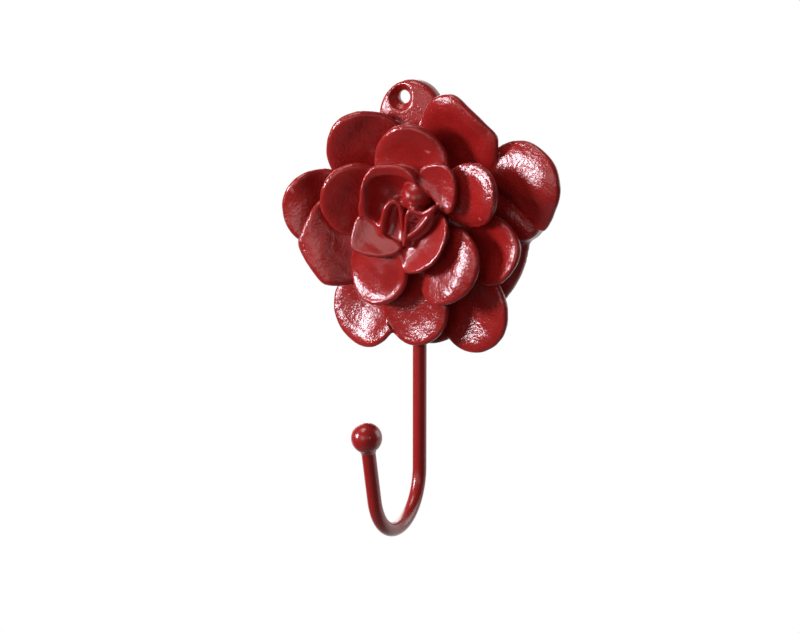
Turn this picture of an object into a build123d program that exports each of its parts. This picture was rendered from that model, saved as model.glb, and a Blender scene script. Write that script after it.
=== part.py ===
from build123d import *
from dataclasses import dataclass
from math import cos, hypot, pi, radians, sin
import os

# Wall hook: a cast rose with a screw tab, a bent rod below it and a ball on the rod's tip.
# The origin is the screw hole's axis on the wall face. -Y faces the room, +Z is up, sizes are in mm.

# The rose's centre, seen from the room
ROSE_X = 9.2
ROSE_Z = -45.3

# The base that the petals stand on
BASE_RADIUS = 39.0
BASE_EDGE = 2.5
CORE_RADIUS = 13.0
CORE_HEIGHT = 12.0

# The web that carries the widest petal, placed from the rose's centre
WEB_X = 34.0
WEB_Z = 9.0
WEB_RADIUS = 10.5
WEB_HEIGHT = 6.5

# The screw tab and its countersunk hole
TAB_X = 3.4
TAB_Z = -6.4
TAB_RADIUS = 12.6
TAB_THICKNESS = 4.5
TAB_EDGE_BREAK = 1.0
SCREW_RADIUS = 2.25
COUNTERSINK_RADIUS = 4.5

# Petal walls: the rim's thickness, how its edge is rounded off, and the metal under a dish
RIM = 2.3
RIM_ROUND_IN = 0.6
RIM_ROUND_UP = 1.0
SHELL = 2.6
UNDER_SHARE = 0.6
PETAL_SIDES = 22
FACE_SHARES = [0.85, 0.45]

# How far cuts reach past what they cut
CUT_REACH = 16.0
OVERCUT = 1.0
STOCK = 200.0

# Heart leaves: the edge's thickness, how deep they stand in the rose, and the hollow between them
LEAF_EDGE = 1.2
LEAF_DEPTH = 9.0
LEAF_CREST = 0.92
LEAF_FLOOR = 0.5
HOLLOW_FLOOR = 13.5
HOLLOW_MOUTH = 21.0
HOLLOW_FLOOR_SHARE = 0.7
HOLLOW_FLARE = 1.1
FOLD_HALF = 0.9
CORNER_CUTS = [0.25, 0.75]

# The rod and its bend
ROD_RADIUS = 2.5
ROD_X = 7.6
ROD_WALL_GAP = 2.5
ROD_TOP_Z = -79.5
BEND_RADIUS = 18.5
BEND_CENTRE_Z = -133.0
BEND_ANGLE = 166.0
ARM_LENGTH = 24.3

# The boss that holds the rod's upper end
BOSS_RADIUS = 4.6
BOSS_BOTTOM_Z = -87.2
BOSS_TOP_Z = -74.0
SOCKET_CLEARANCE = 0.05

# The ball on the rod's tip
BALL_RADIUS = 5.4
BALL_GRIP = 1.5
BALL_CLEARANCE = 0.05
BALL_SIDES = 24


def turned(edges):
    """The solid that a closed outline makes when it is turned about the Z axis."""
    return revolve(make_face(edges), axis=Axis.Z)


def panels(corners):
    """A flat face on its corners, or three-sided ones where the corners don't lie in a plane."""
    points = [Vector(*corner) for corner in corners]
    normal = (points[1] - points[0]).cross(points[2] - points[0]).normalized()
    if max(abs((point - points[0]).dot(normal)) for point in points) < 1e-6:
        pieces = [points]
    elif len(points) == 4:
        pieces = [points[:3], [points[2], points[3], points[0]]]
    else:
        middle = sum(points, Vector()) / len(points)
        pieces = [[points[k - 1], points[k], middle] for k in range(len(points))]
    return [make_face(Polyline(*piece, close=True)).face() for piece in pieces]


def faceted(loops):
    """The solid with flat sides between closed loops of corners, from the first loop to the last."""
    sides = [(low[k - 1], low[k], high[k], high[k - 1])
             for low, high in zip(loops, loops[1:]) for k in range(len(low))]
    return Solid(Shell([face for corners in [loops[0], *sides, loops[-1]] for face in panels(corners)]))


def turns(sides):
    """Even angles round a many-sided outline."""
    return [2 * pi * (k + 0.5) / sides for k in range(sides)]


def faceted_ball(radius, sides):
    """A many-sided ball."""
    bands = sides // 2
    rises = [pi * (k + 0.5) / bands - pi / 2 for k in range(bands)]
    return faceted([[(radius * cos(r) * cos(a), radius * cos(r) * sin(a), radius * sin(r))
                     for a in turns(sides)] for r in rises])


def rounded(corners):
    """A closed outline with each of its corners cut off."""
    cut = []
    for (ax, ay), (bx, by) in zip(corners, corners[1:] + corners[:1]):
        cut += [(ax + (bx - ax) * share, ay + (by - ay) * share) for share in CORNER_CUTS]
    return cut


@dataclass
class Ridge:
    """A soft ridge across a petal, whose face falls outwards and inwards from it by two slopes."""

    angle: float
    offset: float
    outer: float
    inner: float
    width: float = 3.0

    def fall(self, x, y):
        """How far the face has fallen at a place on the petal."""
        away = x * cos(radians(self.angle)) + y * sin(radians(self.angle)) - self.offset
        soft = hypot(away, self.width) - self.width
        return (self.outer * (soft + away) + self.inner * (soft - away)) / 2


@dataclass
class Petal:
    """One dished petal with a rolled rim: where its mouth lies about the rose's centre, and its shape."""

    angle: float
    ring: float
    height: float
    tilt: float
    radius: float
    dish: float
    roll: float = 1.6
    across: float = 1.0
    lean: float | None = None
    flats: tuple = ()
    ridge: Ridge | None = None
    under: float = SHELL

    def plane(self):
        """The mouth's plane, its axis to the room and leaning towards the rose's centre."""
        a = radians(self.angle)
        b = radians(self.angle if self.lean is None else self.lean)
        t = radians(self.tilt)
        centre = (ROSE_X + self.ring * cos(a), -self.height, ROSE_Z + self.ring * sin(a))
        outward = (cos(t) * cos(b), -sin(t), cos(t) * sin(b))
        normal = (-sin(t) * cos(b), -cos(t), -sin(t) * sin(b))
        return Plane(origin=centre, x_dir=outward, z_dir=normal)

    def corners(self, radius, level):
        """The corners of the petal's outline, with its straight sides, at a radius and a level."""
        places = []
        for a in turns(PETAL_SIDES):
            reach = 1.0
            for facing, chord in self.flats:
                if cos(a - radians(facing)) > 0:
                    reach = min(reach, chord / self.radius / cos(a - radians(facing)))
            places.append((radius * reach * cos(a), radius * reach * self.across * sin(a), level))
        return places

    def fallen(self, radius, level):
        """The corners at a radius, where the face falls to both sides of the petal's ridge."""
        if not self.ridge:
            return self.corners(radius, level)
        return [(x, y, z - self.ridge.fall(x, y)) for x, y, z in self.corners(radius, level)]

    def wall(self, share):
        """The radius and the level of the middle of the wall, at a share of the way to the rim."""
        level = -self.dish * (1 - share**2) - self.roll * share**6
        return (self.radius - RIM / 2) * share, level

    def cup(self):
        """The petal's wall: a sloped outside, a rounded rim and a dish that grows flatter inwards."""
        foot = self.corners(self.radius * UNDER_SHARE, -(self.dish + self.under))
        edge = self.fallen(self.radius, -self.roll)
        shoulder = self.fallen(self.radius - RIM_ROUND_IN, RIM_ROUND_UP - self.roll)
        face = [self.wall(share) for share in FACE_SHARES]
        dish = [self.fallen(radius, level + RIM / 2) for radius, level in face]
        return self.plane() * faceted([foot, edge, shoulder, *dish])

    def clearing(self):
        """What the petal clears of the metal below: the room over the middle of its wall."""
        wall = [self.fallen(*self.wall(share)) for share in reversed([1.0, *FACE_SHARES])]
        return self.plane() * faceted([*wall, self.corners(self.radius - RIM / 2, CUT_REACH)])


@dataclass
class HeartLeaf:
    """A thick leaf of the heart: its centre, its outline, and how its face stands off and slopes."""

    centre: tuple
    outline: list
    height: float
    slope: tuple
    dish: float = 0.8
    foot: float = 0.6

    def loop(self, share, level):
        """The outline's corners at a share of its size and a level over the face."""
        cx, cz = self.centre
        steps = [((x - cx) * share, (z - cz) * share) for x, z in rounded(self.outline)]
        return [(cx + dx, cz + dz, self.height + level + self.slope[0] * dx + self.slope[1] * dz)
                for dx, dz in steps]

    def leaf(self):
        """The leaf, from its foot in the rose to the floor of its shallow dish."""
        return wall_plane * faceted([
            self.loop(self.foot, -LEAF_DEPTH), self.loop(1.0, -LEAF_EDGE), self.loop(LEAF_CREST, 0),
            self.loop(LEAF_FLOOR, -self.dish)])

    def clearing(self):
        """The room over the leaf."""
        return wall_plane * faceted([self.loop(LEAF_CREST, -LEAF_EDGE), self.loop(LEAF_CREST, CUT_REACH)])

    def hollow(self):
        """The outline as a hollow that narrows towards its floor."""
        flare = HOLLOW_MOUTH + (HOLLOW_MOUTH - HOLLOW_FLOOR) * (HOLLOW_FLARE - 1) / (1 - HOLLOW_FLOOR_SHARE)
        return wall_plane * faceted([
            self.loop(HOLLOW_FLOOR_SHARE, HOLLOW_FLOOR), self.loop(1.0, HOLLOW_MOUTH),
            self.loop(HOLLOW_FLARE, flare)])


def fold(points, top):
    """A thin upright wall along a line, from under the hollow's floor to its edge."""
    left, right = [], []
    for k, (x, z) in enumerate(points):
        (ax, az), (bx, bz) = points[max(k - 1, 0)], points[min(k + 1, len(points) - 1)]
        reach = FOLD_HALF / hypot(bx - ax, bz - az)
        left.append((x - (bz - az) * reach, z + (bx - ax) * reach))
        right.append((x + (bz - az) * reach, z - (bx - ax) * reach))
    outline = make_face(Polyline(*left, *reversed(right), close=True))
    return wall_plane * Pos(0, 0, HOLLOW_FLOOR - OVERCUT) * extrude(outline, top - HOLLOW_FLOOR + OVERCUT)


def bud(angle, ring, height, radius, sides):
    """A round bud about the rose's centre."""
    a = radians(angle)
    return wall_plane * Pos(ring * cos(a), ring * sin(a), height) * faceted_ball(radius, sides)


# Petals from the wall outwards: angle, ring, height, tilt, radius, dish
OUTER_PETALS = [
    Petal(22, 40.8, 9.5, 14, 16.8, 0.8, flats=((-152, 8.0), (-60, 15.2)),
          ridge=Ridge(56, 0.0, 0.28, 0.28)),
    Petal(-56, 34.0, 7.5, 8, 15.7, 3.0, lean=0),
    Petal(-126, 36.4, 7.5, 15, 15.2, 2.2, lean=-56),
    Petal(174, 40.4, 8.3, 16, 14.0, 0.8, roll=1.8, ridge=Ridge(15, 4.0, 0.2, 0.4)),
]
MIDDLE_PETALS = [
    Petal(128, 32.3, 11.5, 14, 15.1, 1.4, ridge=Ridge(25, 6.0, 0.1, 0.24)),
    Petal(65, 34.7, 11.0, 16, 16.3, 2.6, roll=1.8, flats=((-17, 13.0),),
          ridge=Ridge(-17, 8.5, 0.25, 0.1, 2.5)),
    Petal(-12, 28.5, 12.0, 14, 12.7, 3.4, roll=1.0),
    Petal(-92, 28.8, 11.0, 8, 13.6, 2.4, lean=-10),
    Petal(-168, 30.9, 13.0, 15, 16.2, 0.4, flats=((43, 14.0),), ridge=Ridge(12, 7.5, 0.22, 0.45, 3.5)),
]
INNER_PETALS = [
    Petal(91, 22.5, 15.5, 13, 14.6, 2.6),
    Petal(158, 22.8, 16.0, 16, 13.7, 1.6, ridge=Ridge(0, 5.0, 0.1, 0.22)),
    Petal(30, 26.5, 16.3, 14, 12.6, 0.8, roll=2.0, across=0.9, under=5.2,
          ridge=Ridge(-30, -1.0, -0.3, -0.3)),
    Petal(-37, 18.0, 17.4, 18, 13.4, 0.8, roll=1.2, ridge=Ridge(0, 1.9, 0.2, 0.2, 2.5)),
    Petal(-131, 19.9, 15.5, 16, 12.9, 0.8, roll=1.8, across=0.88),
]

# Heart leaves, outlines in mm from the rose's centre
HEART_LEAVES = [
    HeartLeaf((-8, 11), [(-17.8, 4.4), (-17.1, 10.3), (-16.7, 14.3), (-15.6, 17.6), (-11.8, 22.5),
                         (-5.9, 23.3), (-0.1, 23.1), (4.4, 19.1), (4, 12), (-4, 2), (-14, 1)],
              21.5, (-0.08, 0.12), foot=0.9),
    HeartLeaf((12.5, 17), [(3.6, 18.8), (4.3, 21), (6.4, 23.1), (9.6, 24.1), (13.5, 24.5), (16.6, 23.7),
                           (19.7, 17.7), (19.2, 13.3), (16.5, 6.2), (13.3, 7.1), (5.4, 16.2)],
              20.0, (0.15, 0.1), dish=1.0),
    HeartLeaf((8, -5), [(11.9, 7), (14.6, 5.8), (16.7, 2.4), (15.7, -5), (13.2, -9.2), (8.9, -12.3),
                        (0.7, -15.2), (-2.8, -12.5), (-2.3, -9), (-0.5, -6), (7.8, -1.8), (9.1, 2.1)],
              20.0, (0.45, -0.36), dish=0.5),
    HeartLeaf((-12, -3), [(-17.1, 6), (-10.6, 1.1), (-5.8, -3.6), (-1.9, -4.8), (-1.7, -6.7), (-5.2, -9.1),
                          (-12.6, -9.8), (-20.3, -7.8), (-20.7, -4.2), (-19.1, 3.5)],
              20.5, (-0.2, -0.16), dish=0.5),
]

# The hollow in the heart, and the curled and the folded bud in it
HEART_HOLLOW = HeartLeaf((-2, 7), [(-15.6, 9.8), (-14.8, 16.9), (-9.2, 19.7), (-3.2, 20.3), (4.1, 17.4),
                                   (9.4, 13.1), (11.5, 10.5), (9.3, 1), (8.2, -2), (0.5, -5.5), (-6.8, -1.8),
                                   (-15, 5)], 0, (0, 0))
BUD_FACES = [
    HeartLeaf((-5.2, 3.5), [(-9.2, -0.6), (-8.4, 4.4), (-5.1, 9.8), (-2.4, 6.4), (-1.6, -4.4), (-5, -4),
                            (-9.8, -1.6)], 17.6, (0.08, 0.05), foot=0.9),
    HeartLeaf((4.5, 3), [(0.2, -3.2), (0.8, 0.2), (1, 4.1), (3.5, 7.9), (7.1, 6.4), (11, 8.2), (11, 4.2),
                         (7.2, -0.8), (1.6, -3.8)], 20.2, (0.05, 0.1), foot=0.9),
]
CURLED_LIP = [(-9.7, -0.6), (-8.7, 4.4), (-7.2, 8.3), (-5.1, 10.3), (-3, 9.7), (-2.1, 6.4), (-1.6, -2.9)]
CURLED_LIP_TOP = 20.2
FOLDED_LIP = [(-0.2, -4.6), (0.8, 0.2), (1, 4.1), (1.7, 6.9), (3.5, 7.9), (7.1, 6.4), (11.6, 8.8)]
FOLDED_LIP_TOP = 21.8
FOLD_LINE = [(1.4, -2), (4.2, 0.1), (6.6, 1.9), (8.6, 4.5), (10.4, 6.8)]
FOLD_TOP = 21.6

# The round bud and the seed in the folded bud: angle, ring, height, radius, sides
BUDS = [(77, 12.4, 16.7, 5.4, 16), (61, 5.4, 19.6, 1.8, 12)]

wall_plane = Plane(origin=(ROSE_X, 0, ROSE_Z), x_dir=(1, 0, 0), z_dir=(0, -1, 0))

# The base, a low cone with an upright edge, and its web
base = wall_plane * turned([Polyline(
    (0, 0, 0), (BASE_RADIUS, 0, 0), (BASE_RADIUS, 0, BASE_EDGE), (CORE_RADIUS, 0, CORE_HEIGHT),
    (0, 0, CORE_HEIGHT), (0, 0, 0))])
web = wall_plane * Pos(WEB_X, WEB_Z, WEB_HEIGHT / 2) * Cylinder(WEB_RADIUS, WEB_HEIGHT)

# The screw tab
tab_plane = Plane(origin=(TAB_X, 0, TAB_Z), x_dir=(1, 0, 0), z_dir=(0, -1, 0))
tab = tab_plane * turned([Polyline(
    (0, 0, 0), (TAB_RADIUS, 0, 0), (TAB_RADIUS, 0, TAB_THICKNESS - TAB_EDGE_BREAK),
    (TAB_RADIUS - TAB_EDGE_BREAK, 0, TAB_THICKNESS), (0, 0, TAB_THICKNESS), (0, 0, 0))])

# The boss for the rod
rod_depth = ROD_WALL_GAP + ROD_RADIUS
boss = Pos(ROD_X, -rod_depth, (BOSS_BOTTOM_Z + BOSS_TOP_Z) / 2) * Cylinder(
    BOSS_RADIUS, BOSS_TOP_Z - BOSS_BOTTOM_Z)

# The rose, petal by petal and leaf by leaf, then its hollow heart
rose = base + web + tab + boss
for petal in OUTER_PETALS + MIDDLE_PETALS + INNER_PETALS:
    rose = rose - petal.clearing() + petal.cup()
for leaf in HEART_LEAVES:
    rose = rose - leaf.clearing() + leaf.leaf()
rose -= HEART_HOLLOW.hollow()
for face in BUD_FACES:
    rose += face.leaf()
for line, top in [(CURLED_LIP, CURLED_LIP_TOP), (FOLDED_LIP, FOLDED_LIP_TOP), (FOLD_LINE, FOLD_TOP)]:
    rose += fold(line, top)
for place in BUDS:
    rose += bud(*place)

# The flat back, the rod's socket and the screw hole
back = Pos(ROSE_X, STOCK / 2, ROSE_Z) * Box(STOCK, STOCK, STOCK)
socket_length = ROD_TOP_Z - BOSS_BOTTOM_Z + CUT_REACH
socket = Pos(ROD_X, -rod_depth, ROD_TOP_Z - socket_length / 2) * Cylinder(
    ROD_RADIUS + SOCKET_CLEARANCE, socket_length)
hole_plane = Plane(origin=(0, 0, 0), x_dir=(1, 0, 0), z_dir=(0, -1, 0))
countersink_depth = COUNTERSINK_RADIUS - SCREW_RADIUS
hole = hole_plane * turned([Polyline(
    (0, 0, -OVERCUT), (SCREW_RADIUS, 0, -OVERCUT), (SCREW_RADIUS, 0, TAB_THICKNESS - countersink_depth),
    (COUNTERSINK_RADIUS, 0, TAB_THICKNESS), (COUNTERSINK_RADIUS, 0, TAB_THICKNESS + CUT_REACH),
    (0, 0, TAB_THICKNESS + CUT_REACH), (0, 0, -OVERCUT))])
rose = rose - back - socket - hole

# The rod: a straight shank, a bend and a straight arm that ends in the ball
start = Vector(ROD_X, -rod_depth, ROD_TOP_Z)
shank_end = Vector(ROD_X, -rod_depth, BEND_CENTRE_Z)
bend = radians(BEND_ANGLE)


def bend_point(angle):
    """The point of the rod's centre line at an angle round the bend."""
    return Vector(ROD_X, -(rod_depth + BEND_RADIUS * (1 - cos(angle))),
                  BEND_CENTRE_Z - BEND_RADIUS * sin(angle))


arm_start = bend_point(bend)
arm_way = Vector(0, -sin(bend), -cos(bend))
ball_centre = arm_start + arm_way * ARM_LENGTH
rod_tip = ball_centre + arm_way * BALL_GRIP
path = Wire([Line(start, shank_end), ThreePointArc(shank_end, bend_point(bend / 2), arm_start),
             Line(arm_start, rod_tip)])
section = Plane(origin=start, x_dir=(1, 0, 0), z_dir=(0, 0, -1)) * Circle(ROD_RADIUS)
hook_rod = sweep(section, path=path)

# The ball, with a blind hole that the rod's tip fills
bore_length = BALL_RADIUS + BALL_GRIP + OVERCUT
bore_plane = Plane(origin=rod_tip, x_dir=(1, 0, 0), z_dir=-arm_way)
bore = bore_plane * Pos(0, 0, bore_length / 2) * Cylinder(ROD_RADIUS + BALL_CLEARANCE, bore_length)
ball_plane = Plane(origin=ball_centre, x_dir=(1, 0, 0), z_dir=-arm_way)
ball_end = ball_plane * faceted_ball(BALL_RADIUS, BALL_SIDES) - bore

os.makedirs("parts", exist_ok=True)
export_step(rose, "parts/rose_casting.step")
export_step(hook_rod, "parts/hook_rod.step")
export_step(ball_end, "parts/ball_end.step")
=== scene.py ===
"""A wall hook: a cast rose in glossy red enamel, with a screw tab, a bent rod and a ball on its tip."""
import logging
import math
from dataclasses import dataclass, field
from enum import Enum

import bpy
import numpy as np
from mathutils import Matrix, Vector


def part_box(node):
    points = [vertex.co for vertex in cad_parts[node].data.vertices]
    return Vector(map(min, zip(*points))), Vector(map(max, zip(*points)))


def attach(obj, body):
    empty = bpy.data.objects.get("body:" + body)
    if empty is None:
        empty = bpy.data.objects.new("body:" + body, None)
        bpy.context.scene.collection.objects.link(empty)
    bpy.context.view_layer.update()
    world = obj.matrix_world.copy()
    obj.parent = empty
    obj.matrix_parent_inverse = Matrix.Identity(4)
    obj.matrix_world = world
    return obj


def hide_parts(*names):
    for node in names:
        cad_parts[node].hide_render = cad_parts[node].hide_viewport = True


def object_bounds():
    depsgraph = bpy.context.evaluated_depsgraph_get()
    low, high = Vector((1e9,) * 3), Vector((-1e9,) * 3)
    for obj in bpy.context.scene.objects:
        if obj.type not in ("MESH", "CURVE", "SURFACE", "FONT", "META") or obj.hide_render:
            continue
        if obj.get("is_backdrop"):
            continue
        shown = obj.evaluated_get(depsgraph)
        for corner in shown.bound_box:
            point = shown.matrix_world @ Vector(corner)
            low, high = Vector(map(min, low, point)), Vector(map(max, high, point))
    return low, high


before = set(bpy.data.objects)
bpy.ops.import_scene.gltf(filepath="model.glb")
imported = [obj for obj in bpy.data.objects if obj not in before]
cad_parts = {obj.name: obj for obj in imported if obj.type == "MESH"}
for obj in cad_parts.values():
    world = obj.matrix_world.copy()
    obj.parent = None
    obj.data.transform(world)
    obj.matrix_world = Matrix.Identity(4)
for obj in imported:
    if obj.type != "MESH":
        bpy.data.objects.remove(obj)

import openvdb
from mathutils import Vector

log = logging.getLogger("wall_hook")

MM = 0.001
ROOT = "root"

# The casting's field in mm: a distance beyond all metal, and the edge's rounding where a form is cut clear
FAR = 20.0
CLEAR_EDGE = 0.3

# Turns a distance straight across a slanted side into about the distance square to it
SLANT = 0.9

# How a petal's wave and roll grow with the share of the way to its rim
WAVE_POWER = 3
ROLL_POWER = 6

# The widest that a bulge makes a petal, and how nearly a flat side may face away from a place
BULGE_ROOM = 1.2
LEAST_FACING = 0.05

# How finely an outline is kept, and how often it is smoothed
OUTLINE_STEPS = 120
OUTLINE_PASSES = 6


class Slot(Enum):
    """The record's material slots."""

    CASTING = "red_enamel_casting"
    STEEL = "red_enamel_steel"


def smooth_min(a: np.ndarray, b: np.ndarray | float, blend: float) -> np.ndarray:
    """The lower of two distances, with a round fillet where they meet.

    Args:
        a: Signed distances in mm.
        b: Signed distances in mm, or one for all.
        blend: The fillet's size in mm.

    Returns:
        The blended distances.
    """
    share = np.clip(0.5 + 0.5 * (b - a) / blend, 0.0, 1.0)
    return b + (a - b) * share - blend * share * (1.0 - share)


def smooth_max(a: np.ndarray, b: np.ndarray, blend: float) -> np.ndarray:
    """The higher of two distances, with a rounded edge where they meet.

    Args:
        a: Signed distances in mm.
        b: Signed distances in mm.
        blend: The rounding's size in mm.

    Returns:
        The blended distances.
    """
    return -smooth_min(-a, -b, blend)


def mesh_object(name: str, points: np.ndarray, faces: list[np.ndarray]) -> bpy.types.Object:
    """A smooth-shaded mesh object in the row frame.

    Args:
        name: The piece's name.
        points: Vertex places in mm, one row each.
        faces: Arrays of vertex numbers, one row a face, with one array for each count of corners.

    Returns:
        The linked object.
    """
    mesh = bpy.data.meshes.new(name)
    loops = np.concatenate([block.ravel() for block in faces]).astype(np.int32)
    counts = np.concatenate([np.full(len(block), block.shape[1], np.int32) for block in faces])
    starts = np.concatenate([[0], np.cumsum(counts)[:-1]]).astype(np.int32)
    mesh.vertices.add(len(points))
    mesh.vertices.foreach_set("co", (points * MM).astype(np.float32).ravel())
    mesh.loops.add(len(loops))
    mesh.loops.foreach_set("vertex_index", loops)
    mesh.polygons.add(len(counts))
    mesh.polygons.foreach_set("loop_start", starts)
    mesh.polygons.foreach_set("loop_total", counts)
    mesh.polygons.foreach_set("use_smooth", np.ones(len(counts), bool))
    mesh.update(calc_edges=True)
    mesh.validate()
    piece = bpy.data.objects.new(name, mesh)
    bpy.context.scene.collection.objects.link(piece)
    return piece


def ring_place(heart: Vector, angle: float, ring: float, height: float) -> Vector:
    """The place in mm at an angle and distance about the rose's heart and a height off the wall."""
    a = math.radians(angle)
    return heart + Vector((ring * math.cos(a), -height, ring * math.sin(a)))


class MetalField:
    """Signed distances in mm to a casting's surface on a regular grid, where metal is negative."""

    def __init__(self, low: Vector, high: Vector, step: float) -> None:
        """An empty field over a box.

        Args:
            low: The box's lowest corner in mm.
            high: The box's highest corner in mm.
            step: The grid's step in mm.
        """
        self.step = step
        self.axes = [np.arange(a, b + step, step, dtype=np.float32) for a, b in zip(low, high)]
        self.distance = np.full([len(axis) for axis in self.axes], FAR, np.float32)

    def block(self, centre: Vector, reach: float) -> tuple[tuple[slice, ...], list[np.ndarray]]:
        """The part of the grid about a point.

        Args:
            centre: The point in mm.
            reach: Half the block's side in mm.

        Returns:
            The block's slices, and its X, Y and Z places ready to be combined.
        """
        slices = []
        for axis, middle in zip(self.axes, centre):
            first, last = np.searchsorted(axis, [middle - reach, middle + reach])
            slices.append(slice(int(first), int(last)))
        x, y, z = (axis[part] for axis, part in zip(self.axes, slices))
        return tuple(slices), [x[:, None, None], y[None, :, None], z[None, None, :]]

    def add(self, slices: tuple[slice, ...], distance: np.ndarray, blend: float) -> None:
        """Casts a form onto the metal, with a fillet."""
        self.distance[slices] = smooth_min(self.distance[slices], distance, blend)

    def cut(self, slices: tuple[slice, ...], distance: np.ndarray, blend: float) -> None:
        """Takes a form out of the metal, with a rounded edge."""
        self.distance[slices] = smooth_max(self.distance[slices], -distance, blend)

    def piece(self, name: str, triangles: int) -> bpy.types.Object:
        """The metal's surface as a mesh.

        Args:
            name: The piece's name.
            triangles: The most triangles that the mesh may have.

        Returns:
            The linked object.
        """
        grid = openvdb.FloatGrid()
        grid.copyFromArray(self.distance)
        points, corners3, corners4 = grid.convertToPolygons(isovalue=0.0, adaptivity=0.0)
        places = points * self.step + np.array([axis[0] for axis in self.axes])
        faces = [block[:, ::-1] for block in (corners3, corners4) if len(block)]
        piece = mesh_object(name, places, faces)
        count = len(corners3) + 2 * len(corners4)
        if count > triangles:
            piece.modifiers.new("thin", "DECIMATE").ratio = triangles / count
            thinned = piece.evaluated_get(bpy.context.evaluated_depsgraph_get())
            mesh = bpy.data.meshes.new_from_object(thinned)
            piece.modifiers.clear()
            piece.data = mesh
        return piece


@dataclass(frozen=True)
class Ridge:
    """A soft ridge across a petal, which falls outwards and inwards from it."""

    angle: float
    offset: float
    outer: float
    inner: float
    width: float = 3.0
    most: float = 4.0
    soften: float = 2.0

    def fall(self, out: np.ndarray, side: np.ndarray) -> np.ndarray:
        """How far the face falls away from the ridge.

        Args:
            out: The way outwards in mm.
            side: The way sideways in mm.

        Returns:
            The fall in mm.
        """
        a = math.radians(self.angle)
        away = out * math.cos(a) + side * math.sin(a) - self.offset
        soft = np.hypot(away, self.width) - self.width
        fall = (self.outer * (soft + away) + self.inner * (soft - away)) / 2.0
        return smooth_min(fall, self.most, self.soften)


@dataclass
class Petal:
    """One dished petal: where its mouth lies about the rose's centre, and its shape, in mm and degrees."""

    angle: float
    ring: float
    height: float
    tilt: float
    radius: float
    dish: float
    across: float = 1.0
    lean: float | None = None
    wall: float = 2.3
    roll: float = 1.0
    wave: float = 0.5
    lobes: int = 3
    phase: float = 0.0
    flats: tuple[tuple[float, float], ...] = ()
    bulges: tuple[tuple[float, float, float], ...] = ()
    ridge: Ridge = Ridge(0.0, 0.0, 0.0, 0.0)
    bowl: float = 2.0
    under: float = 2.6
    under_share: float = 0.6
    cut_reach: float = 16.0
    swell: float = 0.012
    flat_corner: float = 2.0
    foot_blend: float = 0.6
    room: float = 6.0

    def centre(self, heart: Vector) -> Vector:
        """The mouth's centre in mm, for a rose whose heart stands at a point of the wall."""
        return ring_place(heart, self.angle, self.ring, self.height)

    def local(self, heart: Vector, places: list[np.ndarray]) -> tuple[np.ndarray, np.ndarray, np.ndarray]:
        """Places seen from the petal.

        Args:
            heart: The rose's centre on the wall in mm.
            places: X, Y and Z in mm.

        Returns:
            The way outwards, the way sideways and the way up the mouth's axis, in mm.
        """
        b = math.radians(self.angle if self.lean is None else self.lean)
        t = math.radians(self.tilt)
        x, y, z = (place - middle for place, middle in zip(places, self.centre(heart)))
        along = x * math.cos(b) + z * math.sin(b)
        outward = along * math.cos(t) - y * math.sin(t)
        sideways = z * math.cos(b) - x * math.sin(b) + 0.0 * y
        upward = -along * math.sin(t) - y * math.cos(t)
        return outward, sideways, upward

    def rim(self, turn: np.ndarray) -> np.ndarray:
        """The radius of the wall's middle line.

        Args:
            turn: Angles about the mouth's axis from the outward way, in radians.

        Returns:
            The radius at each angle in mm.
        """
        radius = self.radius - self.wall / 2
        swell = self.swell * np.sin((self.lobes + 1) * turn + 2.0 * self.phase)
        for at, share, width in self.bulges:
            away = np.angle(np.exp(1j * (turn - math.radians(at))))
            swell = swell + share * np.exp(-(away / math.radians(width)) ** 2)
        rim = radius * (1.0 + swell)
        for at, chord in self.flats:
            facing = np.maximum(np.cos(turn - math.radians(at)), LEAST_FACING)
            rim = smooth_min(rim, (chord - self.wall / 2) / facing, self.flat_corner)
        return rim.astype(np.float32)

    def cast(self, metal: MetalField, heart: Vector, fillet: float) -> None:
        """Clears the petal's dish of the metal below and casts its wall.

        Args:
            metal: The casting so far.
            heart: The rose's centre on the wall in mm.
            fillet: The fillet against the metal below in mm.
        """
        slices, places = metal.block(self.centre(heart), self.radius * BULGE_ROOM + self.room)
        out, side, up = self.local(heart, places)
        side = side / self.across
        turn = np.arctan2(side, out)
        wave = self.wave * np.sin(self.lobes * turn + self.phase)
        rim = self.rim(turn)
        reach = np.hypot(out, side)
        share = np.minimum(reach / rim, 1.0)

        # The face's middle level and how steep it is there
        held = rim / np.maximum(reach, rim)
        fall = self.ridge.fall(out * held, side * held)
        level = (-self.dish * (1.0 - share**self.bowl) + wave * share**WAVE_POWER
                 - self.roll * share**ROLL_POWER - fall)
        slope = (self.bowl * self.dish * share**(self.bowl - 1.0)
                 - ROLL_POWER * self.roll * share**(ROLL_POWER - 1)) / rim
        steep = 1.0 / np.sqrt(1.0 + slope**2)
        above = (up - level) * steep

        # The wall, with a round rim
        past = reach - rim
        rim_slope = (self.bowl * self.dish - ROLL_POWER * self.roll) / self.radius
        rim_steep = 1.0 / math.hypot(1.0, rim_slope)
        rim_rise = rim_slope * rim_steep
        lifted = up - wave + self.roll + fall
        beyond = past * rim_steep + lifted * rim_rise > 0.0
        wall = np.where(beyond, np.hypot(past, lifted), np.abs(above)) - self.wall / 2

        # The foot below the wall, which narrows downwards
        deep = self.dish + self.under
        cone = (rim + self.wall / 2) * (1.0 + (1.0 - self.under_share) * np.minimum(up, 0.0) / deep)
        foot = np.maximum(np.maximum((reach - cone) * SLANT, above), -(up + deep))
        hollow = np.maximum(np.maximum(past, -above), up - self.cut_reach)
        metal.cut(slices, hollow, CLEAR_EDGE)
        metal.add(slices, smooth_min(wall, foot, self.foot_blend), fillet)


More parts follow.
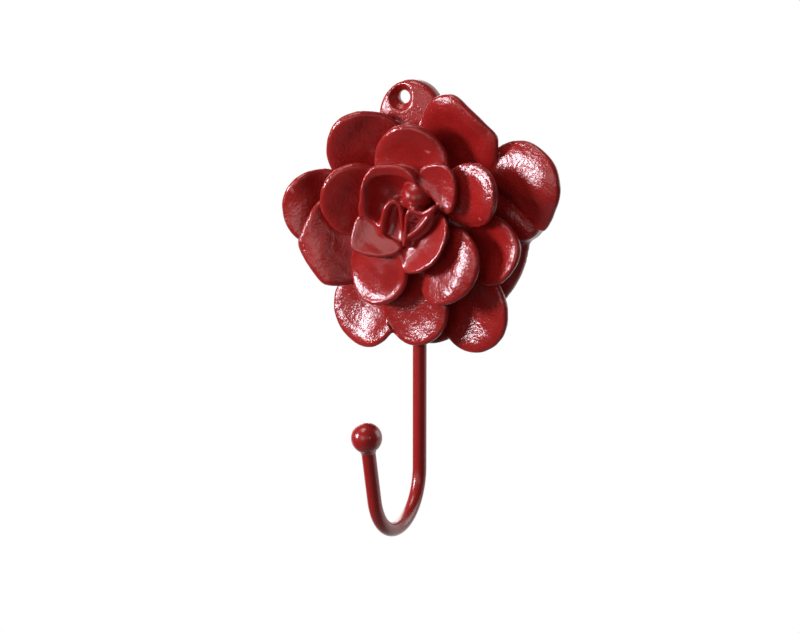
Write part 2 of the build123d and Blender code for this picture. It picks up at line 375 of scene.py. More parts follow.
class Outline:
    """A smooth closed outline about a centre, seen from the room."""

    def __init__(self, centre: tuple[float, float], points: list[tuple[float, float]]) -> None:
        """The outline through points that all see the centre.

        Args:
            centre: X and Z of the centre in mm from the rose's heart.
            points: X and Z of the outline's points in mm from the rose's heart.
        """
        self.centre = centre
        turns = np.array([math.atan2(z - centre[1], x - centre[0]) for x, z in points])
        reaches = np.array([math.hypot(x - centre[0], z - centre[1]) for x, z in points])
        order = np.argsort(turns)
        self.turns = np.linspace(-math.pi, math.pi, OUTLINE_STEPS + 1)[:-1]
        radii = np.interp(self.turns, turns[order], reaches[order], period=2.0 * math.pi)
        for _ in range(OUTLINE_PASSES):
            radii = (np.roll(radii, 1) + 2.0 * radii + np.roll(radii, -1)) / 4.0
        self.radii = radii

    def polar(self, heart: Vector, x: np.ndarray, z: np.ndarray) -> tuple[np.ndarray, np.ndarray]:
        """How far places lie from the centre, and the outline's radius towards them.

        Args:
            heart: The rose's centre on the wall in mm.
            x: Places across in mm.
            z: Places upwards in mm.

        Returns:
            The distances from the centre and the outline's radii, in mm.
        """
        across, rise = x - heart.x - self.centre[0], z - heart.z - self.centre[1]
        radius = np.interp(np.arctan2(rise, across), self.turns, self.radii, period=2.0 * math.pi)
        return np.hypot(across, rise), radius.astype(np.float32)


@dataclass
class HeartLeaf:
    """A thick leaf of the heart: its outline, and how its face stands off the wall."""

    outline: Outline
    height: float
    rise: tuple[float, float]
    dish: float = 0.8
    wall: float = 2.4
    undercut: float = 0.55
    depth: float = 10.0
    foot_blend: float = 0.5
    room: float = 8.0

    def cast(self, metal: MetalField, heart: Vector, fillet: float) -> None:
        """Clears what lies over the leaf and casts it.

        Args:
            metal: The casting so far.
            heart: The rose's centre on the wall in mm.
            fillet: The fillet against the metal below in mm.
        """
        cx, cz = self.outline.centre
        middle = heart + Vector((cx, -self.height, cz))
        slices, (x, y, z) = metal.block(middle, float(self.outline.radii.max()) + self.room)
        reach, radius = self.outline.polar(heart, x, z)
        rim = radius - self.wall / 2
        share = np.minimum(reach / rim, 1.0)
        face = self.height + self.rise[0] * (x - middle.x) + self.rise[1] * (z - middle.z)
        face = face - self.dish * (1.0 - share**2) - self.wall / 2
        above = (-y - face) / math.sqrt(1.0 + self.rise[0] ** 2 + self.rise[1] ** 2)
        past = reach - rim
        wall = np.where(past > 0.0, np.hypot(past, above), np.abs(above)) - self.wall / 2
        sloped = (past - self.undercut * np.minimum(above, 0.0)) / math.hypot(1.0, self.undercut)
        foot = np.maximum(np.maximum(above, sloped), -(above + self.depth))
        metal.cut(slices, np.maximum(past, -above), CLEAR_EDGE)
        metal.add(slices, smooth_min(wall, foot, self.foot_blend), fillet)


@dataclass
class HeartHollow:
    """The deep hollow in the middle of the heart."""

    outline: Outline
    floor: float
    taper: float = 0.5
    mouth: float = 21.0
    floor_rise: float = 3.0
    floor_round: float = 3.0
    edge: float = 0.8
    room: float = 8.0

    def cut(self, metal: MetalField, heart: Vector) -> None:
        """Cuts the hollow, with a rounded edge.

        Args:
            metal: The casting so far.
            heart: The rose's centre on the wall in mm.
        """
        cx, cz = self.outline.centre
        middle = heart + Vector((cx, -self.floor, cz))
        slices, (x, y, z) = metal.block(middle, float(self.outline.radii.max()) + self.room)
        reach, radius = self.outline.polar(heart, x, z)
        past = (reach - radius + self.taper * (self.mouth + y)) / math.hypot(1.0, self.taper)
        floor = self.floor + self.floor_rise * np.minimum(reach / radius, 1.0) ** 2
        metal.cut(slices, smooth_max(past, floor + y, self.floor_round), self.edge)


@dataclass
class Fold:
    """A thin upright wall of metal with a rounded edge, along a line of X, Z and depth in mm."""

    points: list[tuple[float, float, float]]
    radii: list[float]
    corner_cut: float = 0.25
    corner_passes: int = 2
    room: float = 6.0

    def cast(self, metal: MetalField, heart: Vector, fillet: float) -> None:
        """Casts the wall, as tapered lengths between its points, from its edge down into the metal.

        Args:
            metal: The casting so far.
            heart: The rose's centre on the wall in mm.
            fillet: The fillet against the metal below in mm.
        """
        line = self.smooth_line()
        middle = heart + Vector([float(v) for v in line[:, :3].mean(axis=0)])
        span = float(np.abs(line[:, :3] - line[:, :3].mean(axis=0)).max())
        slices, (x, y, z) = metal.block(middle, span + self.room)
        ridge = np.full(np.broadcast(x, y, z).shape, FAR, np.float32)
        for first, last in zip(line, line[1:]):
            way = last - first
            px, pz = x - heart.x - first[0], z - heart.z - first[2]
            share = np.clip((px * way[0] + pz * way[2]) / (way[0] ** 2 + way[2] ** 2), 0.0, 1.0)
            aside = np.hypot(px - share * way[0], pz - share * way[2])
            proud = np.maximum(first[1] + share * way[1] - (y - heart.y), 0.0)
            ridge = np.minimum(ridge, np.hypot(aside, proud) - (first[3] + share * way[3]))
        metal.add(slices, ridge, fillet)

    def smooth_line(self) -> np.ndarray:
        """The wall's edge with its corners rounded.

        Returns:
            One row a point: X, Y, Z and radius in mm.
        """
        knots = np.array([(x, -depth, z, radius) for (x, z, depth), radius in zip(self.points, self.radii)])
        cut, keep = self.corner_cut, 1.0 - self.corner_cut
        for _ in range(self.corner_passes):
            near, far = knots[:-1] * keep + knots[1:] * cut, knots[:-1] * cut + knots[1:] * keep
            middle = np.stack([near, far], axis=1).reshape(-1, 4)
            knots = np.concatenate([knots[:1], middle, knots[-1:]])
        return knots


@dataclass
class Bud:
    """A round bud: where it lies about the rose's centre, and its radius."""

    angle: float
    ring: float
    height: float
    radius: float
    room: float = 4.0

    def cast(self, metal: MetalField, heart: Vector, fillet: float) -> None:
        """Casts the bud onto the metal.

        Args:
            metal: The casting so far.
            heart: The rose's centre on the wall in mm.
            fillet: The fillet against the metal below in mm.
        """
        centre = ring_place(heart, self.angle, self.ring, self.height)
        slices, places = metal.block(centre, self.radius + self.room)
        x, y, z = (place - middle for place, middle in zip(places, centre))
        metal.add(slices, np.sqrt(x**2 + y**2 + z**2) - self.radius, fillet)


def outer_petals() -> list[Petal]:
    """The petals against the wall, each by its angle, ring, height, tilt, radius and dish.

    Returns:
        The petals, in the order in which they are cast.
    """
    return [
        Petal(22, 40.8, 9.5, 14, 16.8, 0.8, roll=1.6, phase=0.4, flats=((-152, 8.0), (-60, 15.2)),
              ridge=Ridge(56, 0.0, 0.22, 0.44)),
        Petal(-56, 34.0, 7.5, 13, 15.7, 3.0, roll=1.6, lean=14, phase=1.7),
        Petal(-127, 36.8, 7.5, 14.4, 15.4, 3.5, roll=1.6, lean=-24, phase=2.9),
        Petal(174, 40.4, 8.3, 16, 14.0, 1.6, bowl=4, roll=1.2, wall=3.0, phase=4.1,
              ridge=Ridge(15, 6.0, 0.05, 0.50)),
    ]


def middle_petals() -> list[Petal]:
    """The petals of the second ring, each by its angle, ring, height, tilt, radius and dish.

    Returns:
        The petals, in the order in which they are cast.
    """
    return [
        Petal(128, 32.3, 11.5, 14, 15.1, 2.4, bowl=4, roll=1.5, wall=3.2, phase=0.9,
              ridge=Ridge(25, 8.0, 0.0, 0.36)),
        Petal(65, 34.7, 11.0, 16, 16.3, 2.6, roll=1.8, phase=2.2, flats=((-17, 13.0),),
              ridge=Ridge(-17, 8.5, 0.25, 0.22, 2.5)),
        Petal(-12, 28.5, 12.0, 14, 12.7, 3.4, phase=3.3),
        Petal(-92, 28.8, 11.0, 8.2, 13.6, 1.3, bowl=3, lean=-14, phase=4.6),
        Petal(-168, 30.9, 13.0, 15, 16.4, 1.2, bowl=4, roll=1.0, wall=3.2, phase=5.5,
              flats=((-35, 13.8), (22, 14.2)), ridge=Ridge(12, 7.5, 0.22, 0.45, 3.5)),
    ]


def inner_petals() -> list[Petal]:
    """The petals of the third ring, each by its angle, ring, height, tilt, radius and dish.

    Returns:
        The petals, in the order in which they are cast.
    """
    return [
        Petal(91, 22.5, 15.5, 13, 14.6, 2.6, bowl=3, roll=1.6, wall=3.0, phase=1.1),
        Petal(158, 22.8, 16.0, 16, 13.7, 2.4, bowl=4, roll=1.5, wall=3.2, phase=2.5,
              ridge=Ridge(0, 7.0, 0.0, 0.32)),
        Petal(30, 26.5, 16.3, 14, 12.6, 0.8, across=0.9, roll=2.0, phase=3.9, under=5.2,
              ridge=Ridge(-30, -1.0, -0.30, -0.30)),
        Petal(-37, 18.0, 17.4, 18, 13.4, 0.8, roll=1.2, phase=5.1, ridge=Ridge(37, 6.5, 0.20, 0.16, 3.5),
              bulges=((-90, 0.25, 40),)),
        Petal(-131, 19.9, 17.0, 2, 12.9, 1.0, bowl=8, across=0.97, roll=0.3, phase=0.2,
              ridge=Ridge(-49, -2.0, 0.42, 0.0, most=9.0)),
    ]


def heart_leaves() -> list[HeartLeaf]:
    """The leaves round the heart, in the order in which they lie on each other.

    Returns:
        The leaves, lowest first.
    """
    cup = Outline((-8, 11), [
        (-17.8, 4.4), (-17.1, 10.3), (-16.7, 14.3), (-15.6, 17.6), (-13.9, 20.5), (-11.8, 22.5), (-5.9, 23.3),
        (-0.1, 23.1), (2.7, 21.6), (4.4, 19.1), (4, 12), (-4, 2), (-14, 1)])
    right = Outline((12.5, 17), [
        (3.6, 18.8), (4.3, 21), (6.4, 23.1), (9.6, 24.1), (13.5, 24.5), (16.6, 23.7), (18.7, 21.4),
        (19.7, 17.7), (19.2, 13.3), (18.4, 9.4), (16.5, 6.2), (13.3, 7.1), (10.9, 10.5), (7.9, 14.1),
        (5.4, 16.2)])
    low = Outline((8, -5), [
        (11.9, 7), (14.6, 5.8), (16.7, 2.4), (16.8, -0.7), (15.7, -5), (13.2, -9.2), (8.9, -12.3),
        (3.7, -14.4), (0.7, -15.2), (-2.2, -14.2), (-2.8, -12.5), (-2.6, -8.4), (-1.6, -4.6), (2, -1.8),
        (5.6, 0.6), (7.6, 3.8)])
    left = Outline((-12, -3), [
        (-17.1, 6), (-15.3, 4.7), (-10.6, 1.1), (-8.2, -1.6), (-5.8, -3.6), (-1.9, -4.8), (-1.7, -6.7),
        (-5.2, -9.1), (-9.3, -10), (-12.6, -9.8), (-17.1, -8.9), (-20.3, -7.8), (-20.7, -4.2),
        (-20.2, -0.4), (-19.1, 3.5)])
    return [
        HeartLeaf(cup, 21.5, (-0.08, 0.12), undercut=0.1),
        HeartLeaf(right, 20.0, (0.15, 0.10), dish=1.0),
        HeartLeaf(low, 20.0, (0.45, -0.36), dish=0.5),
        HeartLeaf(left, 20.5, (-0.20, -0.16), dish=0.5),
    ]


def bud_faces() -> list[HeartLeaf]:
    """The faces of the curled and the folded bud in the hollow.

    Returns:
        The curled bud's face, then the folded bud's.
    """
    curled = Outline((-5.2, 3.5), [
        (-9.2, -0.6), (-8.4, 4.4), (-7, 8), (-5.1, 9.8), (-3.2, 9.2), (-2.4, 6.4), (-2.2, 2.1), (-1.6, -4.4),
        (-5, -4), (-9.8, -1.6)])
    folded = Outline((4.5, 3), [
        (0.2, -3.2), (0.8, 0.2), (1, 4.1), (1.7, 6.9), (3.5, 7.9), (5.3, 6.8), (7.1, 6.4), (9.2, 7.3),
        (11, 8.2), (11, 4.2), (9.3, 1.2), (7.2, -0.8), (4.6, -2.4), (1.6, -3.8)])
    return [
        HeartLeaf(curled, 17.6, (0.08, 0.05), dish=0.8, wall=1.4, undercut=0.1),
        HeartLeaf(folded, 20.2, (0.05, 0.1), dish=0.6, wall=1.4, undercut=0.2),
    ]


def heart_hollow() -> HeartHollow:
    """The hollow between the heart's leaves.

    Returns:
        The hollow.
    """
    mouth = Outline((-2, 7), [
        (-14.3, 9.8), (-14.2, 13.6), (-13.5, 16.2), (-12, 17.7), (-8.6, 18.6), (-3.2, 19.1), (1, 18.4),
        (4.1, 16.8), (6, 15.7), (9.4, 13.1), (11.5, 10.5), (9.8, 6.2), (7.6, 2.2), (6.2, -0.4), (2.4, -2.6),
        (0, -3.8), (-1.6, -3.4), (-6.8, -1.8), (-10.7, 1.4), (-15, 5)])
    return HeartHollow(mouth, 13.5)


def heart_folds() -> list[Fold]:
    """The lip of the curled bud at the left of the heart, and the lips of the folded bud at its right.

    Returns:
        The lips, from left to right.
    """
    return [
        Fold([(-9.7, -0.6, 18.6), (-8.7, 4.4, 19.4), (-7.2, 8.3, 19.8), (-5.1, 10.3, 19.8), (-3, 9.7, 19.4),
              (-2.1, 6.4, 19), (-1.9, 2.1, 18.6), (-1.6, -2.9, 18.4)],
             [1.5, 1.5, 1.3, 1.1, 0.9, 0.8, 0.8, 0.8]),
        Fold([(-0.2, -4.6, 20.6), (0.8, 0.2, 21), (1, 4.1, 21.2), (1.7, 6.9, 21.4), (3.5, 7.9, 21.4),
              (5.3, 6.8, 21), (7.1, 6.4, 20.8), (9.2, 7.3, 21), (11.6, 8.8, 21.2)],
             [0.9, 0.8, 0.8, 0.8, 0.8, 0.8, 0.8, 0.9, 1.0]),
        Fold([(1.4, -2, 20.4), (4.2, 0.1, 20.8), (6.6, 1.9, 21), (8.6, 4.5, 21), (10.4, 6.8, 20.8)],
             [0.8, 1.1, 1.2, 1.1, 0.8]),
    ]


def heart_buds() -> list[Bud]:
    """The round bud and the seed in the folded bud."""
    return [Bud(77, 12.4, 16.7, 5.4), Bud(61, 5.4, 19.6, 1.8)]


@dataclass(frozen=True)
class Wiring:
    """A node tree that nodes are added to."""

    tree: bpy.types.NodeTree

    def add(self, kind: str, inputs: dict[str | int, object], **settings: str) -> bpy.types.Node:
        """Adds a node.

        Args:
            kind: The node's type.
            inputs: By name or number, a socket to link from or a constant.
            settings: What is set on the node itself, before its inputs.

        Returns:
            The node.
        """
        node = self.tree.nodes.new(kind)
        for name, value in settings.items():
            setattr(node, name, value)
        for key, value in inputs.items():
            self.feed(node.inputs[key], value)
        return node

    def feed(self, entry: bpy.types.NodeSocket, value: object) -> None:
        """Links an input from a socket, or sets its constant.

        Args:
            entry: The input.
            value: The socket or the constant.
        """
        if isinstance(value, bpy.types.NodeSocket):
            self.tree.links.new(value, entry)
        else:
            entry.default_value = value


@dataclass(frozen=True)
class EnamelFinish:
    """Glossy red enamel over cast or drawn metal."""

    name: str
    colour: tuple[float, float, float]
    deep: tuple[float, float, float]
    roughness: float
    grains: tuple[tuple[float, float], ...]
    smooth_centre: tuple[float, float, float] = (0.0065, -0.018, -0.050)
    smooth_reach: tuple[float, float] = (0.012, 0.026)
    smooth_strength: float = 0.35
    # The paler red of convex rims, and the pointiness over which it comes in: it paints a highlight along the
    # rims as well as worn enamel.
    wear_and_rim_highlight: tuple[float, float, float] = (0.58, 0.105, 0.105)
    wear_and_rim_highlight_range: tuple[float, float] = (0.515, 0.61)
    ior: float = 1.55
    cloud_scale: float = 60.0
    cloud_detail: float = 4.0
    cloud_range: tuple[float, float] = (0.3, 0.7)
    gloss_range: tuple[float, float] = (0.8, 1.25)
    grain_detail: float = 2.0

    def material(self) -> bpy.types.Material:
        """The finish as a node material.

        Returns:
            The material.
        """
        paint = bpy.data.materials.new(self.name)
        paint.use_nodes = True
        wiring = Wiring(paint.node_tree)
        place = wiring.add("ShaderNodeTexCoord", {}).outputs["Object"]
        clouds = wiring.add("ShaderNodeTexNoise", {
            "Vector": place, "Scale": self.cloud_scale, "Detail": self.cloud_detail}).outputs["Fac"]
        smooth, rough = (self.roughness * part for part in self.gloss_range)
        gloss = wiring.add("ShaderNodeMapRange", {"Value": clouds, "To Min": smooth, "To Max": rough})
        shader = paint.node_tree.nodes["Principled BSDF"].inputs
        wiring.feed(shader["IOR"], self.ior)
        wiring.feed(shader["Roughness"], gloss.outputs["Result"])
        wiring.feed(shader["Base Color"], self.reds(wiring, clouds))
        wiring.feed(shader["Normal"], self.grain(wiring, place))
        return paint

    def reds(self, wiring: Wiring, clouds: bpy.types.NodeSocket) -> bpy.types.NodeSocket:
        """The enamel's colour: cloudy reds, paler on convex rims for worn enamel and a painted rim highlight.

        Args:
            wiring: The material's node tree.
            clouds: The socket with the clouds.

        Returns:
            The socket with the colour.
        """
        tint = wiring.add("ShaderNodeValToRGB", {"Fac": clouds})
        for stop, at, red in zip(tint.color_ramp.elements, self.cloud_range, (self.deep, self.colour)):
            stop.position, stop.color = at, (*red, 1.0)
        # Convex rims turn paler: worn enamel, and also a painted highlight along the rims.
        rim = wiring.add("ShaderNodeNewGeometry", {}).outputs["Pointiness"]
        wear_and_rim_highlight = wiring.add("ShaderNodeMapRange", {
            "Value": rim, "From Min": self.wear_and_rim_highlight_range[0], "From Max": self.wear_and_rim_highlight_range[1]})
        edge = wiring.add("ShaderNodeMix", {
            "Factor": wear_and_rim_highlight.outputs["Result"], "A": tint.outputs["Color"], "B": (*self.wear_and_rim_highlight, 1.0)},
            data_type="RGBA")
        return edge.outputs["Result"]

    def grain(self, wiring: Wiring, place: bpy.types.NodeSocket) -> bpy.types.NodeSocket:
        """The grain of the cast or drawn face below the enamel, one size upon another.

        Args:
            wiring: The material's node tree.
            place: The socket with places on the piece.

        Returns:
            The socket with the grainy face's normal.
        """
        strength, normal = self.coarseness(wiring, place), None
        for size, depth in self.grains:
            grain = wiring.add("ShaderNodeTexNoise", {
                "Vector": place, "Scale": 1.0 / (size * MM), "Detail": self.grain_detail})
            bump = wiring.add("ShaderNodeBump", {
                "Strength": strength, "Distance": depth * MM, "Height": grain.outputs["Fac"]})
            if normal is not None:
                wiring.feed(bump.inputs["Normal"], normal)
            normal = bump.outputs["Normal"]
        return normal

    def coarseness(self, wiring: Wiring, place: bpy.types.NodeSocket) -> bpy.types.NodeSocket:
        """How strongly the grain shows: less near the smooth heart, more towards the rim.

        Args:
            wiring: The material's node tree.
            place: The socket with places on the piece.

        Returns:
            The socket with the strength.
        """
        away = wiring.add("ShaderNodeVectorMath", {0: place, 1: self.smooth_centre}, operation="DISTANCE")
        near, far = self.smooth_reach
        share = wiring.add("ShaderNodeMapRange", {
            "Value": away.outputs["Value"], "From Min": near, "From Max": far,
            "To Min": self.smooth_strength, "To Max": 1.0})
        return share.outputs["Result"]


def seen_white(wiring: Wiring, other: bpy.types.NodeSocket, place: bpy.types.NodeSocket,
               edge: tuple[float, float]) -> bpy.types.NodeSocket:
    """Makes the surroundings white for the camera, and behind the hook for reflections too.

    Args:
        wiring: The node tree of the floor or the world.
        other: The shader for all other light.
        place: The place or the way whose Y says how far behind the hook it is.
        edge: Y where reflections start to show white, and where they are all white.

    Returns:
        The socket with the shader.
    """
    path = wiring.add("ShaderNodeLightPath", {}).outputs
    apart = wiring.add("ShaderNodeSeparateXYZ", {"Vector": place})
    behind = wiring.add("ShaderNodeMapRange", {
        "Value": apart.outputs["Y"], "From Min": edge[0], "From Max": edge[1]})
    seen = wiring.add("ShaderNodeMath", {
        0: path["Is Camera Ray"], 1: path["Is Transmission Ray"]}, operation="MAXIMUM")
    shown = wiring.add("ShaderNodeMath", {
        0: path["Is Glossy Ray"], 1: behind.outputs["Result"], 2: seen.outputs["Value"]},
        operation="MULTIPLY_ADD")
    white = wiring.add("ShaderNodeEmission", {})
    mix = wiring.add("ShaderNodeMixShader", {
        0: shown.outputs["Value"], 1: other, 2: white.outputs["Emission"]})
    return mix.outputs["Shader"]


@dataclass(frozen=True)
class PaperFinish:
    """Pale matt paper for the floor."""

    name: str = "pale_paper"
    grey: float = 0.6
    roughness: float = 0.9
    white_edge: tuple[float, float] = (0.2, 1.2)

    def material(self) -> bpy.types.Material:
        """The finish as a node material.

        Returns:
            The material.
        """
        paper = bpy.data.materials.new(self.name)
        paper.use_nodes = True
        wiring, nodes = Wiring(paper.node_tree), paper.node_tree.nodes
        matt = nodes["Principled BSDF"]
        wiring.feed(matt.inputs["Base Color"], (self.grey, self.grey, self.grey, 1.0))
        wiring.feed(matt.inputs["Roughness"], self.roughness)
        place = wiring.add("ShaderNodeNewGeometry", {}).outputs["Position"]
        shown = seen_white(wiring, matt.outputs["BSDF"], place, self.white_edge)
        wiring.feed(nodes["Material Output"].inputs["Surface"], shown)
        return paper


@dataclass
class RoseCasting:
    """The cast rose with its base, screw tab, rod boss and hollow back, in mm."""

    heart: Vector = field(default_factory=lambda: Vector((9.2, 0.0, -45.3)))
    base_radius: float = 39.0
    base_edge: float = 2.5
    core_radius: float = 13.0
    core_height: float = 12.0
    web: Vector = field(default_factory=lambda: Vector((35.3, 0.0, 6.3)))
    web_radius: float = 10.5
    web_height: float = 6.5
    lobe: Vector = field(default_factory=lambda: Vector((-1.5, 0.0, -22.4)))
    lobe_radius: float = 20.6
    lobe_height: float = 3.0
    back_radius: float = 21.0
    back_roof_radius: float = 13.0
    back_depth: float = 5.0
    tab: Vector = field(default_factory=lambda: Vector((3.4, 0.0, -6.4)))
    tab_radius: float = 12.6
    tab_thickness: float = 4.5
    tab_round: float = 1.6
    tab_crown: float = 1.6
    screw_radius: float = 2.25
    countersink_radius: float = 4.5
    rod: Vector = field(default_factory=lambda: Vector((7.6, -5.0, -79.5)))
    rod_radius: float = 2.55
    boss_radius: float = 4.6
    boss_bottom: float = -87.2
    boss_top: float = -74.0
    base_round: float = 1.5
    base_blend: float = 0.1
    lobe_blend: float = 1.0
    web_round: float = 2.0
    boss_round: float = 1.2
    back_edge: float = 0.2
    hollow_edge: float = 1.0
    socket_edge: float = 0.1
    screw_edge: float = 0.5
    margin: float = 3.0
    reach: float = 70.0
    step: float = 0.5
    triangles: int = 190000
    fillet: float = 0.9
    unevenness: float = 0.12
    swells: tuple[float, ...] = (16.0, 11.0, 8.0, 6.0, 5.0)
    seed: int = 7

    def build(self) -> bpy.types.Object:
        """Casts the rose.

        Returns:
            The rose as one piece.
        """
        low, high = (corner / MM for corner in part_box("rose_casting"))
        margin = Vector((self.margin, self.margin, self.margin))
        metal = MetalField(low - margin, high + margin, self.step)
        self.cast_base(metal)
        self.cast_mounts(metal)
        for petal in outer_petals() + middle_petals() + inner_petals() + heart_leaves():
            petal.cast(metal, self.heart, self.fillet)
        heart_hollow().cut(metal, self.heart)
        for bud in bud_faces() + heart_buds() + heart_folds():
            bud.cast(metal, self.heart, self.fillet)
        self.roughen(metal)
        self.cut_back(metal)
        piece = metal.piece("rose", self.triangles)
        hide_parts("rose_casting")
        return piece

    def cast_base(self, metal: MetalField) -> None:
        """Casts the base: a low cone, a lobe below it and a web at the right.

        Args:
            metal: The field to cast into.
        """
        slices, (x, y, z) = metal.block(self.heart, self.reach)
        depth = -y
        ring = np.hypot(x - self.heart.x, z - self.heart.z)
        fall = (self.core_height - self.base_edge) / (self.base_radius - self.core_radius)
        roof = np.minimum(self.base_edge + (self.base_radius - ring) * fall, self.core_height)
        cone = (depth - roof) / math.hypot(1.0, fall)
        metal.add(slices, smooth_max(cone, ring - self.base_radius, self.base_round), self.base_blend)

        # The lobe and the web
        ring = np.hypot(x - self.heart.x - self.lobe.x, z - self.heart.z - self.lobe.z)
        lobe = smooth_max(depth - self.lobe_height, ring - self.lobe_radius, self.base_round)
        metal.add(slices, lobe, self.lobe_blend)
        ring = np.hypot(x - self.heart.x - self.web.x, z - self.heart.z - self.web.z)
        web = smooth_max((depth - self.web_height) * SLANT, ring - self.web_radius, self.web_round)
        metal.add(slices, web, self.web_round)

    def cast_mounts(self, metal: MetalField) -> None:
        """Casts the crowned screw tab and the boss that holds the rod.

        Args:
            metal: The casting so far.
        """
        slices, (x, y, z) = metal.block(self.heart, self.reach)
        ring = np.hypot(x - self.tab.x, z - self.tab.z)
        rise = self.tab_crown * (1.0 - (ring / self.tab_radius) ** 2)
        beside = ring - (self.tab_radius - self.tab_round)
        above = -y - rise - (self.tab_thickness - self.tab_round)
        corner = np.hypot(np.maximum(beside, 0.0), np.maximum(above, 0.0))
        tab = corner + np.minimum(np.maximum(beside, above), 0.0) - self.tab_round
        metal.add(slices, tab, self.fillet)

        # The boss, which stands along the rod
        ring = np.hypot(x - self.rod.x, y - self.rod.y)
        middle, half = (self.boss_top + self.boss_bottom) / 2, (self.boss_top - self.boss_bottom) / 2
        boss = smooth_max(ring - self.boss_radius, np.abs(z - middle) - half, self.boss_round)
        metal.add(slices, boss, self.fillet)

    def roughen(self, metal: MetalField) -> None:
        """Makes the cast faces a little uneven, as sand leaves them.

        Args:
            metal: The casting so far.
        """
        rng = np.random.default_rng(self.seed)
        x, y, z = metal.axes
        for size in self.swells:
            way = rng.normal(size=3)
            way *= 2.0 * math.pi / size / np.linalg.norm(way)
            start = rng.uniform(0.0, 2.0 * math.pi)
            swell = np.sin(x[:, None, None] * way[0] + y[None, :, None] * way[1]
                           + z[None, None, :] * way[2] + start)
            metal.distance += (self.unevenness * size / self.swells[0]) * swell.astype(np.float32)

    def cut_back(self, metal: MetalField) -> None:
        """Cuts the flat back, its hollow, the rod's socket and the screw hole.

        Args:
            metal: The casting so far.
        """
        slices, (x, y, z) = metal.block(self.heart, self.reach)
        depth = -y + 0.0 * x + 0.0 * z
        metal.cut(slices, depth, self.back_edge)

        # The hollow, which narrows inwards
        ring = np.hypot(x - self.heart.x, z - self.heart.z)
        side = (self.back_radius - self.back_roof_radius) / self.back_depth
        hollow = np.maximum((ring - self.back_radius + depth * side) / math.hypot(1.0, side),
                            depth - self.back_depth)
        metal.cut(slices, hollow, self.hollow_edge)

        # The rod's blind socket
        ring = np.hypot(x - self.rod.x, y - self.rod.y)
        socket = np.maximum(ring - self.rod_radius, z - self.rod.z)
        metal.cut(slices, socket, self.socket_edge)

        # The countersunk screw hole
        ring = np.hypot(x, z)
        sink = self.countersink_radius - self.screw_radius
        cone = (ring - self.countersink_radius + (self.tab_thickness - depth)) / math.sqrt(2.0)
        hole = np.minimum(ring - self.screw_radius, np.maximum(cone, ring - self.countersink_radius))
        hole = np.where(depth < self.tab_thickness - sink, ring - self.screw_radius, hole)
        metal.cut(slices, hole, self.screw_edge)

    def dress(self, piece: bpy.types.Object, finish: EnamelFinish) -> None:
        """Paints the rose and sets it on the hook.

        Args:
            piece: The rose.
            finish: Its enamel.
        """
        piece.data.materials.append(finish.material())
        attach(piece, ROOT)


def ring_points(centre: Vector, way: Vector, radius: float, sides: int) -> list[Vector]:
    """Points of a circle square to a way that lies in a plane of X = constant.

    Args:
        centre: The circle's centre in mm.
        way: The way through the circle.
        radius: The circle's radius in mm.
        sides: How many points.

    Returns:
        The points in mm.
    """
    across = Vector((1.0, 0.0, 0.0))
    upright = way.cross(across)
    turns = [2.0 * math.pi * k / sides for k in range(sides)]
    return [centre + (across * math.cos(a) + upright * math.sin(a)) * radius for a in turns]


